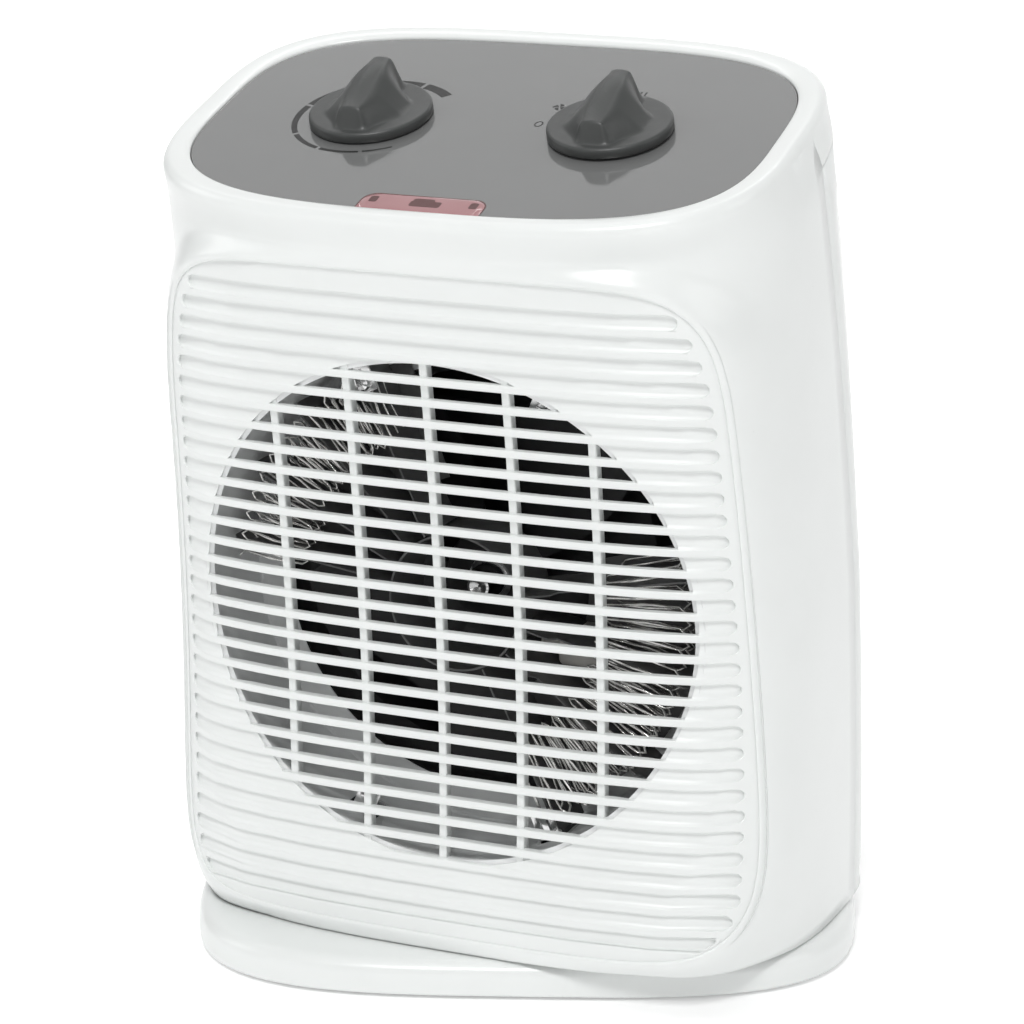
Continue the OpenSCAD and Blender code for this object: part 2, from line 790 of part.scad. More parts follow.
module motor_shaft() {
  color(steel) along_y(shaft_r, fan_y - fan_depth / 2 - 3.8, motor_front + 16);
}

module fan_motor() {
  color([0.45, 0.45, 0.46]) difference() {
    union() {
      along_y(17, motor_front, motor_front + 15);
      translate([-22, motor_front + 2, grille_z - 19]) cube([44, 9, 38]);
      along_y(5, motor_front - 3, motor_front + 17.5);
    }
    along_y(shaft_r + 0.04, motor_front - 5, motor_front + 16.2);
  }
}

module motor_bracket() {
  y0 = motor_front - 2.7;
  color([0.3, 0.3, 0.3]) {
    difference() {
      along_y(fan_r + 8, duct_back + 0.3, y0 + 2.5);
      along_y(fan_r + 3.5, duct_back - 1, y0 + 4);
    }
    difference() {
      union() {
        along_y(19, y0, y0 + 2.4);
        for (a = [30, 150, 270])
          translate([0, y0 + 0.1, grille_z]) rotate([0, a, 0])
            translate([12, 0, -5]) cube([fan_r - 6, 2.2, 10]);
      }
      along_y(5.2, y0 - 1, y0 + 4);
    }
    for (side = [-1, 1])
      translate([side * (fan_r + 20) - 14.5, y0 - 6, grille_z - 8]) cube([29, 3, 16]);
  }
}

// ---------- electrics ----------

module terminal_block() {
  color([0.9, 0.9, 0.87]) translate([44, 16, body_bottom + floor_t + 0.05]) difference() {
    cube([34, 14, 12]);
    for (k = [0:2]) translate([7 + k * 10, 7, 4]) cylinder(r = 2, h = 10, $fn = 24);
  }
}

module internal_wiring() {
  color([0.5, 0.4, 0.3]) {
    translate([80, -20, 26]) cylinder(r = 2.6, h = 180, $fn = 32);
    translate([gland_x, 15, gland_z]) rotate([-90, 0, 0]) cylinder(r = 2.6, h = 17, $fn = 32);
    translate([gland_x, 15, gland_z]) sphere(r = 2.6, $fn = 24);
    translate([gland_x, 15, gland_z]) rotate([0, 90, -62.8]) cylinder(r = 2.6, h = 39.3, $fn = 32);
  }
}

module cable_gland() {
  color(plastic_dark) translate([gland_x, 0, gland_z]) rotate([-90, 0, 0]) difference() {
    union() {
      translate([0, 0, 34]) cylinder(r = 5, h = 22, $fn = 48);
      translate([0, 0, 33]) cylinder(r = 6.6, h = 2, $fn = 48);
    }
    translate([0, 0, 30]) cylinder(r = 3.2, h = 40, $fn = 48);
  }
}

module tilt_switch() {
  color([0.15, 0.15, 0.15]) translate([-60, 12, body_bottom + floor_t + 0.05]) {
    cube([18, 12, 15]);
    translate([9, 6, 14.9]) cylinder(r = 4, h = 3, $fn = 32);
  }
}

base_shell();
base_plate();
rubber_feet();
swivel_ring();
base_screws();
body_floor();
swivel_clamp();
clamp_screws();
oscillation_motor();
crank_disc();
front_shell();
rear_shell();
casing_screws();
front_grille();
intake_grille();
control_panel();
indicator_lens();
pilot_lamp();
thermostat_knob();
thermostat_shaft();
thermostat();
selector_knob();
selector_shaft();
rotary_switch();
heater_duct();
mica_boards();
heating_wire();
element_brackets();
thermal_cutout();
fan_impeller();
impeller_nut();
motor_shaft();
fan_motor();
motor_bracket();
terminal_block();
internal_wiring();
cable_gland();
tilt_switch();
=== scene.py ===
import json
import math

import bpy
import numpy as np
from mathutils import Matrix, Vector
from mathutils.geometry import tessellate_polygon


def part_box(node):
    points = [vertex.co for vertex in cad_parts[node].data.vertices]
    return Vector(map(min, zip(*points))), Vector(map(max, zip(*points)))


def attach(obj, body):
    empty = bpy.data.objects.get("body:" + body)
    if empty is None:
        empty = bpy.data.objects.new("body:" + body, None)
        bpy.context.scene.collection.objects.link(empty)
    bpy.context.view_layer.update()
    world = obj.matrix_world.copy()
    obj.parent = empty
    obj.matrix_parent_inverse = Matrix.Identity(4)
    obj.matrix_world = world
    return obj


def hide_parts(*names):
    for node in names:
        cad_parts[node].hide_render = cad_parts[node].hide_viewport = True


# Looks of the oscillating fan heater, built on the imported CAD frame. The helpers' lengths are in millimetres.

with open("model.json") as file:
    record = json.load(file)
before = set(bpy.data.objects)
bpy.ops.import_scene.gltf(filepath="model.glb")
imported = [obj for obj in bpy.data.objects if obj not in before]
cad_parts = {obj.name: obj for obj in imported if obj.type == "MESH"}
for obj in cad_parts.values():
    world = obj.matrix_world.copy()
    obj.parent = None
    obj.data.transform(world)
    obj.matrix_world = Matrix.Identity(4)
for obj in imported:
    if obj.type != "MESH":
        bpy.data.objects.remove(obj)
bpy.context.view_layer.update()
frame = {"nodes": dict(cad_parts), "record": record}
record = frame["record"]
joints = {j["name"]: j for j in record["behaviour"]["joints"]}


def box(node):
    low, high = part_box(node)
    return np.array(low) * 1000, np.array(high) * 1000


duct_low, duct_high = box("heater_duct")
base_low, base_high = box("base_shell")
GRILLE_Z = (duct_low[2] + duct_high[2]) / 2
BODY_BOTTOM = box("front_shell")[0][2]
knob_axis = joints["thermostat_turn"]
KNOB_X = abs(knob_axis["pos_m"][0]) * 1000
TOP_Y, TOP_Z = knob_axis["pos_m"][1] * 1000, knob_axis["pos_m"][2] * 1000
TOP_TILT = math.atan2(-knob_axis["axis"][1], knob_axis["axis"][2])
BASE_TURN = math.radians(sum(joints["swing"]["range_deg"]) / 2)
PITCH, OUTLET_R, BAR_STEP = 6.4, 77.0, 24.4
PANEL_W, PANEL_D = 85.6, 54.8
PANEL_H = -0.6
SEAM_T = 2.2


# ---------- curves of the casing ----------

def spow(v, e):
    return np.sign(v) * np.abs(v) ** e


def body_front(z):
    up = z - GRILLE_Z
    return -69.4 - 0.081 * up - up * up / 1322


def body_back(z):
    return 44.5 - 0.105 * (z - GRILLE_Z)


def body_half(z):
    up = z - GRILLE_Z
    return 100 - 0.0168 * up - 0.000126 * up * up


def body_xy(t, z):
    """Level outline of the body at height z, t in degrees."""
    a = np.radians(t)
    front, back = body_front(z), body_back(z)
    middle = front + (back - front) * (0.656 - 0.00097 * np.maximum(0, z - GRILLE_Z))
    front_exp = 3.1 - 0.4 * np.clip(z / 230, 0, 1)
    e = np.where(np.sin(a) < 0, 2 / front_exp, 2 / 3.4)
    depth = np.where(np.sin(a) < 0, middle - front, back - middle)
    return body_half(z) * spow(np.cos(a), e), middle + depth * spow(np.sin(a), e)


def top_point(x, y, h):
    c, s = math.cos(TOP_TILT), math.sin(TOP_TILT)
    return np.stack([x + 0 * h, TOP_Y + y * c - h * s, TOP_Z + y * s + h * c], -1)


def top_oval_xy(t, d):
    a = np.radians(t)
    e = np.where(np.sin(a) < 0, 2 / 3.14, 2 / 3.57)
    return (PANEL_W + d) * spow(np.cos(a), e), (PANEL_D + d) * spow(np.sin(a), e)


def top_oval(t, d, h):
    x, y = top_oval_xy(t, d)
    return top_point(x, y, h + 0 * x)


def bow(x):
    """How far the front face curves back at x, with a tighter curl beside the grooves' ends."""
    return x * x / 3757 + 1.335e-7 * x ** 4 + 0.018 * np.maximum(0, np.abs(x) - 73) ** 2


def grille_y(x, z):
    """Depth of the insert's face, which falls back a little at its two upper corners."""
    corner = np.maximum(0, np.abs(x) - 50) ** 2 * np.maximum(0, z - GRILLE_Z - 50) ** 2
    return body_front(z) + bow(x) + 1.8e-6 * corner


INSERT_Z, INSERT_H, INSERT_W, INSERT_TAPER, INSERT_EXP = GRILLE_Z + 1.6, 100.5, 88.8, 0.052, 7.6


def insert_outline(n):
    """Outline of the grille insert as points in x and z, anticlockwise from +x."""
    a = np.linspace(0, 2 * np.pi, n, endpoint=False)
    z = INSERT_Z + INSERT_H * spow(np.sin(a), 2 / INSERT_EXP)
    x = (INSERT_W - INSERT_TAPER * (z - INSERT_Z)) * spow(np.cos(a), 2 / INSERT_EXP)
    return np.stack([x, z], 1)


def even(points, n):
    """The closed outline again, as n points evenly far apart."""
    loop = np.vstack([points, points[:1]])
    s = np.concatenate([[0], np.cumsum(np.linalg.norm(np.diff(loop, axis=0), axis=1))])
    u = np.linspace(0, s[-1], n, endpoint=False)
    return np.stack([np.interp(u, s, loop[:, k]) for k in range(loop.shape[1])], 1)


def distance_outside(x, z, outline):
    """Signed distance in x and z from a closed outline, positive outside it."""
    p = np.stack([x, z], -1).reshape(-1, 2)
    best = np.full(len(p), 1e9)
    inside = np.zeros(len(p), bool)
    for a, b in zip(outline, np.roll(outline, -1, axis=0)):
        ab = b - a
        t = np.clip(((p - a) @ ab) / (ab @ ab + 1e-12), 0, 1)
        best = np.minimum(best, np.linalg.norm(p - a - t[:, None] * ab, axis=1))
        crosses = (a[1] > p[:, 1]) != (b[1] > p[:, 1])
        at = a[0] + (p[:, 1] - a[1]) * ab[0] / (ab[1] if abs(ab[1]) > 1e-12 else 1e-12)
        inside ^= crosses & (p[:, 0] < at)
    return np.where(inside, -best, best).reshape(np.shape(x))


def smooth(v, low, high):
    t = np.clip((v - low) / (high - low), 0, 1)
    return t * t * (3 - 2 * t)


# ---------- meshes ----------

def make(name, points, faces, body, slot, material, replaces=(), angle=35, flip=False):
    """A mesh piece from millimetre points, shaded smooth except at sharp edges."""
    mesh = bpy.data.meshes.new(name)
    mesh.from_pydata((np.asarray(points, float).reshape(-1, 3) * 0.001).tolist(), [], faces)
    mesh.validate()
    if flip:
        mesh.flip_normals()
    mesh.shade_smooth()
    mesh.set_sharp_from_angle(angle=math.radians(angle))
    mesh.materials.append(material)
    piece = bpy.data.objects.new(name, mesh)
    bpy.context.scene.collection.objects.link(piece)
    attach(piece, body)
    if replaces:
        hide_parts(*replaces)
    return piece


def weld(piece, distance=0.002):
    import bmesh
    b = bmesh.new()
    b.from_mesh(piece.data)
    bmesh.ops.remove_doubles(b, verts=b.verts, dist=distance * 0.001)
    bmesh.ops.recalc_face_normals(b, faces=b.faces)
    b.to_mesh(piece.data)
    b.free()
    piece.data.shade_smooth()
    piece.data.set_sharp_from_angle(angle=math.radians(35))


def grid_faces(rows, columns, closed_rows=False, closed_columns=False, start=0):
    """Quads of a grid of points stored row by row."""
    faces = []
    for i in range(rows if closed_rows else rows - 1):
        for j in range(columns if closed_columns else columns - 1):
            a, b = i * columns, ((i + 1) % rows) * columns
            k = (j + 1) % columns
            faces.append((start + a + j, start + a + k, start + b + k, start + b + j))
    return faces


class Builder:
    """Collects grids, prisms and tubes into one mesh."""

    def __init__(self):
        self.points, self.faces = [], []

    def add(self, points, faces):
        start = sum(len(p) for p in self.points)
        self.points.append(np.asarray(points, float).reshape(-1, 3))
        self.faces += [tuple(start + k for k in f) for f in faces]

    def loft(self, rings, caps=True, close=False):
        """A solid through equal closed rings; with close, the last ring meets the first."""
        rings = np.asarray(rings, float)
        m, n = rings.shape[:2]
        faces = grid_faces(m, n, closed_rows=close, closed_columns=True)
        if caps and not close:
            faces += [tuple(range(n))[::-1], tuple((m - 1) * n + k for k in range(n))]
        self.add(rings, faces)

    def turned(self, profile, axis_point, axis="y", steps=96):
        """A solid of revolution of a closed profile of (radius, along) about an axis."""
        a = np.linspace(0, 2 * np.pi, steps, endpoint=False)
        rings = []
        for r, h in profile:
            ring = {"y": (r * np.cos(a), 0 * a + h, r * np.sin(a)),
                    "z": (r * np.cos(a), r * np.sin(a), 0 * a + h)}[axis]
            rings.append(np.stack(ring, 1) + axis_point)
        self.loft(rings, close=True)

    def tube(self, path, radius, sides=8, closed=False):
        """A round wire along a path of points."""
        path = np.asarray(path, float)
        n = len(path)
        if closed:
            tangent = np.roll(path, -1, 0) - np.roll(path, 1, 0)
        else:
            tangent = np.gradient(path, axis=0)
        tangent /= np.linalg.norm(tangent, axis=1)[:, None] + 1e-12
        normal = np.cross(tangent[0], [0.31, 0.87, 0.37])
        rings = []
        a = np.linspace(0, 2 * np.pi, sides, endpoint=False)
        for i in range(n):
            normal = normal - tangent[i] * (normal @ tangent[i])
            normal /= np.linalg.norm(normal)
            other = np.cross(tangent[i], normal)
            rings.append(path[i] + radius * (np.outer(np.cos(a), normal) + np.outer(np.sin(a), other)))
        self.loft(rings, caps=not closed, close=closed)

    def prism(self, outline, low, high, place):
        """A straight prism of a 2D outline from low to high, put in space by place(x, y, h)."""
        outline = np.asarray(outline, float)
        rings = [place(outline[:, 0], outline[:, 1], h + 0 * outline[:, 0]) for h in (low, high)]
        self.loft(rings)

    def pierced(self, outlines, low, high, place):
        """A prism like the one above of the first outline, with the other outlines as holes through it."""
        flat = np.vstack(outlines)
        n = len(flat)
        faces = []
        for a, c, d in tessellate_polygon([[Vector((x, y, 0)) for x,
                                            y in outline] for outline in outlines]):
            u, v = flat[c] - flat[a], flat[d] - flat[a]
            up = (a, c, d) if u[0] * v[1] > u[1] * v[0] else (a, d, c)
            faces += [tuple(k + n for k in up), up[::-1]]
        start = 0
        for outline in outlines:
            for k in range(len(outline)):
                here, after = start + k, start + (k + 1) % len(outline)
                faces.append((here, after, after + n, here + n))
            start += len(outline)
        self.add(np.vstack([place(flat[:, 0], flat[:, 1], h + 0 * flat[:, 0]) for h in (low, high)]), faces)

    def make(self, name, *args, **kw):
        return make(name, np.vstack(self.points), self.faces, *args, **kw)


# ---------- materials ----------

def material(name, color, rough=0.4, metallic=0.0, spread=0.04, rough_spread=0.08, grain=300, bump=0.05,
             bump_scale=900, stretch=(1, 1, 1), coat=0.0, transmission=0.0, alpha=1.0, specular=0.5,
             emission=None):
    """A procedural material: colour and roughness vary with noise, and a fine bump breaks the surface."""
    m = bpy.data.materials.new(name)
    m.use_nodes = True
    tree = m.node_tree
    shader = tree.nodes["Principled BSDF"]
    place = tree.nodes.new("ShaderNodeTexCoord")
    scale = tree.nodes.new("ShaderNodeMapping")
    scale.inputs["Scale"].default_value = stretch
    tree.links.new(place.outputs["Object"], scale.inputs["Vector"])

    def noise(size, detail):
        n = tree.nodes.new("ShaderNodeTexNoise")
        n.inputs["Scale"].default_value = size
        n.inputs["Detail"].default_value = detail
        tree.links.new(scale.outputs["Vector"], n.inputs["Vector"])
        return n

    broad, fine = noise(grain / 8, 3), noise(bump_scale, 4)
    ramp = tree.nodes.new("ShaderNodeValToRGB")
    ramp.color_ramp.elements[0].position, ramp.color_ramp.elements[1].position = 0.3, 0.7
    ramp.color_ramp.elements[0].color = (*[c * (1 - spread) for c in color], 1)
    ramp.color_ramp.elements[1].color = (*[min(1, c * (1 + spread)) for c in color], 1)
    tree.links.new(broad.outputs["Fac"], ramp.inputs["Fac"])
    tree.links.new(ramp.outputs["Color"], shader.inputs["Base Color"])
    to_rough = tree.nodes.new("ShaderNodeMapRange")
    to_rough.inputs["To Min"].default_value = max(0.02, rough - rough_spread)
    to_rough.inputs["To Max"].default_value = min(1, rough + rough_spread)
    rough_noise = noise(grain, 5)
    tree.links.new(rough_noise.outputs["Fac"], to_rough.inputs["Value"])
    tree.links.new(to_rough.outputs["Result"], shader.inputs["Roughness"])
    bumps = tree.nodes.new("ShaderNodeBump")
    bumps.inputs["Strength"].default_value = bump
    bumps.inputs["Distance"].default_value = 0.0002
    tree.links.new(fine.outputs["Fac"], bumps.inputs["Height"])
    tree.links.new(bumps.outputs["Normal"], shader.inputs["Normal"])
    shader.inputs["Metallic"].default_value = metallic
    shader.inputs["Coat Weight"].default_value = coat
    shader.inputs["Coat Roughness"].default_value = 0.08
    shader.inputs["Transmission Weight"].default_value = transmission
    shader.inputs["Alpha"].default_value = alpha
    shader.inputs["Specular IOR Level"].default_value = specular
    if emission:
        shader.inputs["Emission Color"].default_value = (*emission[:3], 1)
        shader.inputs["Emission Strength"].default_value = emission[3]
    return m


white = material("white_casing_plastic", (0.80, 0.82, 0.81), 0.30, spread=0.012, rough_spread=0.05,
                 bump=0.03, coat=0.15)
grille_white = material("white_grille_plastic", (0.80, 0.82, 0.81), 0.36, spread=0.012, bump=0.04)
grey_panel = material("grey_gloss_panel", (0.176, 0.179, 0.178), 0.07, spread=0.015, rough_spread=0.02,
                      bump=0.006, coat=1.0, specular=0.7)
knob_dark = material("dark_knob_plastic", (0.054, 0.057, 0.056), 0.42, spread=0.05, bump=0.12,
                     bump_scale=1600)
print_black = material("black_print", (0.012, 0.012, 0.012), 0.5, spread=0.2, bump=0.05)
lens_pink = material("pink_lens", (0.60, 0.31, 0.32), 0.12, spread=0.05, bump=0.02, transmission=0.35,
                     coat=0.4)
lamp_glow = material("lamp_glass", (0.35, 0.12, 0.10), 0.2, spread=0.1, bump=0.02)
lamp_dark = material("lamp_lead_dark", (0.10, 0.035, 0.035), 0.45, spread=0.1)
rubber = material("foot_rubber", (0.03, 0.03, 0.03), 0.75, spread=0.15, bump=0.35)
grey_plastic = material("grey_plate_plastic", (0.25, 0.255, 0.255), 0.5, spread=0.04, bump=0.2,
                        bump_scale=1400)
nylon = material("natural_nylon", (0.72, 0.70, 0.62), 0.42, spread=0.04, bump=0.06)
black_plastic = material("black_plastic", (0.008, 0.008, 0.009), 0.5, spread=0.2, bump=0.12)
zinc = material("zinc_steel", (0.55, 0.55, 0.54), 0.32, 1.0, spread=0.08, bump=0.08)
bright = material("bright_steel", (0.72, 0.72, 0.72), 0.14, 1.0, spread=0.05, bump=0.03)
can = material("zinc_motor_can", (0.50, 0.50, 0.47), 0.4, 1.0, spread=0.1, bump=0.1)
laminated = material("laminated_core", (0.20, 0.20, 0.205), 0.45, 1.0, spread=0.1, bump=0.5,
                     stretch=(1, 9, 1))
shield = material("mottled_heat_shield", (0.80, 0.81, 0.81), 0.45, 0.0, spread=0.08, rough_spread=0.12,
                  bump=0.3, bump_scale=220)
mica = material("pearly_mica", (0.12, 0.12, 0.12), 0.4, spread=0.12, rough_spread=0.15, bump=0.35,
                bump_scale=350, coat=0.2)
wire = material("nichrome_wire", (0.80, 0.79, 0.77), 0.22, 1.0, spread=0.1, bump=0.1)
ceramic = material("white_ceramic", (0.82, 0.80, 0.76), 0.55, spread=0.05, bump=0.15)
sleeve = material("wire_sleeve", (0.30, 0.16, 0.09), 0.55, spread=0.12, bump=0.25, stretch=(1, 1, 4))
dark_core = material("dark_liner", (0.006, 0.006, 0.007), 0.7, spread=0.3, bump=0.1)


# ---------- casing ----------

def t_samples(low, high):
    """Angles dense enough for the oval's flat and tight stretches, in degrees."""
    w = np.linspace(0, 1, 260)
    front, back = np.degrees(np.arcsin(w ** 1.45)), np.degrees(np.arcsin(w ** 1.7))
    all_t = np.concatenate([back, 90 - back, 90 + back, 180 - back, 180 + front, 270 - front, 270 + front,
                            360 - front])
    all_t = np.unique(np.round(np.concatenate([all_t, all_t + 360]), 5))
    return np.concatenate([[low], all_t[(all_t > low + 1e-4) & (all_t < high - 1e-4)], [high]])


def shoulder(t):
    return top_oval(t, 7.6, -2.4)[..., 2] - 9.0


class Sheet:
    """Part of the casing's surface, with s from -1 to 1 along each level section and w as height."""

    def __init__(self, low, high, middle):
        t = t_samples(low, high)
        self.z = np.linspace(BODY_BOTTOM, 262, 190)
        self.s = np.linspace(-1, 1, 901)
        rows = []
        for z in self.z:
            x, y = body_xy(t, z)
            run = np.concatenate([[0], np.cumsum(np.hypot(np.diff(x), np.diff(y)))])
            at = np.interp(middle, t, run)
            s = np.where(run < at, (run - at) / at, (run - at) / (run[-1] - at))
            rows.append([np.interp(self.s, s, v) for v in (x, y, t)])
        self.table = np.array(rows)
        self.top = np.full(len(self.s), 225.0)
        for _ in range(12):
            self.top = shoulder(self.look(self.s, self.top)[2])
        self.top_t = self.look(self.s, self.top)[2]

    def look(self, s, z):
        fz = np.clip((z - self.z[0]) / (self.z[1] - self.z[0]), 0, len(self.z) - 1.001)
        fs = np.clip((s + 1) / (self.s[1] - self.s[0]), 0, len(self.s) - 1.001)
        i, j = fz.astype(int), fs.astype(int)
        a, b = fz - i, fs - j
        t = self.table
        return [(1 - a) * ((1 - b) * t[i, k, j] + b * t[i, k, j + 1]) + a * ((1 - b) * t[i + 1, k,
                j] + b * t[i + 1, k, j + 1])
                for k in range(3)]

    def s_of_x(self, x, z):
        i = np.clip(((z - self.z[0]) / (self.z[1] - self.z[0])).astype(int), 0, len(self.z) - 1)
        out = []
        for k, v in zip(i, x):
            row = self.table[k, 0]
            part = slice(60, 841)
            out.append(np.interp(v, row[part], self.s[part]) if row[-60] > row[60] else np.interp(-v,
                    -row[part], self.s[part]))
        return np.array(out)

    def point(self, s, w):
        top = np.interp(s, self.s, self.top)
        x, y, _ = self.look(s, np.minimum(w, top))
        low = np.stack([x, y, np.minimum(w, top)], -1)
        q = np.clip((w - top) / 9.0, 0, 1)
        return np.where((q > 0)[..., None], blend(np.interp(s, self.s, self.top_t), q), low)


def blend(t, q):
    """Turns the body's surface into the rim's outer edge above the shoulder; q runs from 0 to 1."""
    z = shoulder(t)
    x0, y0 = body_xy(t, z)
    x1, y1 = body_xy(t, z - 1)
    a = np.stack([x0, y0, z], -1)
    slope_a = np.stack([x0 - x1, y0 - y1, 1 + 0 * z], -1) * 9
    b = top_oval(t, 7.6, -2.4)
    slope_b = np.array([0, -math.sin(TOP_TILT), math.cos(TOP_TILT)]) * 9
    q = np.asarray(q)[..., None]
    return ((2 * q ** 3 - 3 * q ** 2 + 1) * a + (q ** 3 - 2 * q ** 2 + q) * slope_a
            + (3 * q ** 2 - 2 * q ** 3) * b + (q ** 3 - q ** 2) * slope_b)


SCALE = 170.0
DISTANCES = np.array([0, .2, .45, .8, 1.3, 2, 2.8, 3.8, 5, 6.2, 7.5, 9, 10.6, 12.4, 14.5, 17, 20, 24, 29,
                      35, 42, 50, 60, 70, 80]) / 80


def spokes(sheet, outline, top_of, count):
    """Rings of (s, w) from a closed outline to the sheet's edges."""
    inner = even(outline, count)
    s_in = sheet.s_of_x(inner[:, 0], inner[:, 1])
    start = np.stack([s_in * SCALE, inner[:, 1]], 1)
    centre = np.array([0.0, outline[:, 1].mean()])
    edge = [np.array([[s, BODY_BOTTOM] for s in np.linspace(-1, 1, 201)]),
            np.array([[1, w] for w in np.linspace(BODY_BOTTOM, top_of(np.array([1.0]))[0], 200)]),
            np.array([[s, top_of(np.array([s]))[0]] for s in np.linspace(1, -1, 201)]),
            np.array([[-1, w] for w in np.linspace(top_of(np.array([-1.0]))[0], BODY_BOTTOM, 200)])]
    loop = np.vstack([e[:-1] for e in edge]) * [SCALE, 1]
    angle = np.unwrap(np.arctan2(loop[:, 1] - centre[1], loop[:, 0]))
    loop, angle = np.vstack([loop, loop[:1]]), np.append(angle, angle[0] + 2 * np.pi)
    want = np.arctan2(start[:, 1] - centre[1], start[:, 0])
    want = (want - angle[0]) % (2 * np.pi) + angle[0]
    for corner in (0, 200, 399, 599):
        near = np.argmin(np.abs((want - angle[corner] + np.pi) % (2 * np.pi) - np.pi))
        want[near] = angle[corner]
    end = np.stack([np.interp(want, angle, loop[:, k]) for k in (0, 1)], 1)
    rings = start[None] + (end - start)[None] * DISTANCES[:, None, None]
    return rings / [SCALE, 1]


def casing_front():
    sheet = Sheet(180 - SEAM_T, 360 + SEAM_T, 270)
    outline = insert_outline(720)
    rings = spokes(sheet, outline, lambda s: np.interp(s, sheet.s, sheet.top) + 9.0, 480)
    points = sheet.point(rings[..., 0], rings[..., 1])
    x, y, z = points[..., 0], points[..., 1], points[..., 2]
    d = np.maximum(0, distance_outside(x, z, outline))
    edge = 0.9 * (1 - np.sqrt(np.clip(1 - (1 - np.clip(d / 0.9, 0, 1)) ** 2, 0, 1)))
    lip = grille_y(x, z) - 0.9 + edge
    reach = np.clip(2 + 1.3 * (y - lip), 7, 15.5)
    share = (1 - smooth(d / reach, 0.1, 1)) * (1 - smooth(y - lip, 22, 48))
    raised = points.copy()
    raised[..., 1] = y + np.where(lip < y, (lip - y) * share, 0) + np.where(lip < y, 0, edge)
    wall = raised[:1].copy()
    wall[..., 1] += 1.6
    raised = np.vstack([wall, raised])
    faces = grid_faces(len(raised), raised.shape[1], closed_columns=True)
    top = np.where(np.isclose(rings[-1, :, 1], np.interp(rings[-1, :, 0], sheet.s, sheet.top) + 9.0))[0]
    front_t = np.sort(np.interp(rings[-1, top, 0], sheet.s, sheet.top_t))
    lean = t_samples(SEAM_T + 360, 540 - SEAM_T)
    loop = top_oval(lean, 7.6, -2.4)
    run = np.concatenate([[0], np.cumsum(np.linalg.norm(np.diff(loop, axis=0), axis=1))])
    back_t = np.interp(np.linspace(0, run[-1], 150), run, lean)
    a = np.linspace(0, np.pi / 2, 8)
    profile = [(5 + 2.6 * math.cos(v), -2.4 + 3.3 * math.sin(v)) for v in a]
    profile += [(5 - 4.8 * math.sin(v), 0.9 - 1.2 * (1 - math.cos(v))) for v in a[1:]]
    profile += [(0.16, PANEL_H - 0.2), (0.16, PANEL_H - 1.5)]
    all_t = np.concatenate([front_t, back_t[1:-1]])
    rim = np.array([top_oval(all_t, dd, hh) for dd, hh in profile])
    start = raised.reshape(-1, 3).shape[0]
    faces += grid_faces(len(rim), len(all_t), closed_columns=True, start=start)
    low = np.array([blend(back_t, q + 0 * back_t) for q in np.linspace(0, 1, 8)])
    faces += grid_faces(8, len(back_t), start=start + rim.reshape(-1, 3).shape[0])
    points = np.vstack([raised.reshape(-1, 3), rim.reshape(-1, 3), low.reshape(-1, 3)])
    piece = make("casing_front", points, faces, "body", "white_plastic", white, ["front_shell"])
    weld(piece, 0.02)
    thicken(piece, 2.2)


def thicken(piece, thickness):
    solid = piece.modifiers.new("wall", "SOLIDIFY")
    solid.thickness = thickness * 0.001
    solid.offset = -1
    solid.use_rim = True


INTAKE_R = 56.0


def casing_rear():
    sheet = Sheet(SEAM_T + 0.02, 180 - SEAM_T - 0.02, 90)
    a = np.linspace(0, 2 * np.pi, 480, endpoint=False)
    outline = np.stack([INTAKE_R * np.cos(a), GRILLE_Z + INTAKE_R * 0.995 * np.sin(a)], 1)
    rings = spokes(sheet, outline, lambda s: np.interp(s, sheet.s, sheet.top) - 0.35, 360)
    points = sheet.point(rings[..., 0], rings[..., 1])
    edge = points[:1].copy()
    edge[..., 1] -= 0.4
    points = np.vstack([edge, points])
    piece = make("casing_rear", points, grid_faces(len(points), 360, closed_columns=True), "body",
                 "white_plastic",
                 white, ["rear_shell"])
    weld(piece, 0.02)
    thicken(piece, 2.2)


# ---------- front grille ----------

GROOVES = 30
GAP_HALF = 2.05
RIB_DEPTH = 2.6
EDGE_DEPTH = 1.7
OPEN = range(3, 27)


def groove_z(i):
    """Height of groove i, the first one at the top."""
    return GRILLE_Z + 0.2 + (14.5 - i) * PITCH


def groove_end(i):
    """Half length of groove i."""
    return np.interp(i, [0, 1, 2, 3, 5, 8, 13, 16, 23, 27, 28, 29],
                     [74.0, 77.4, 79.6, 81.2, 82.7, 83.9, 85.9, 87.0, 88.2, 87.7, 86.0, 83.0])


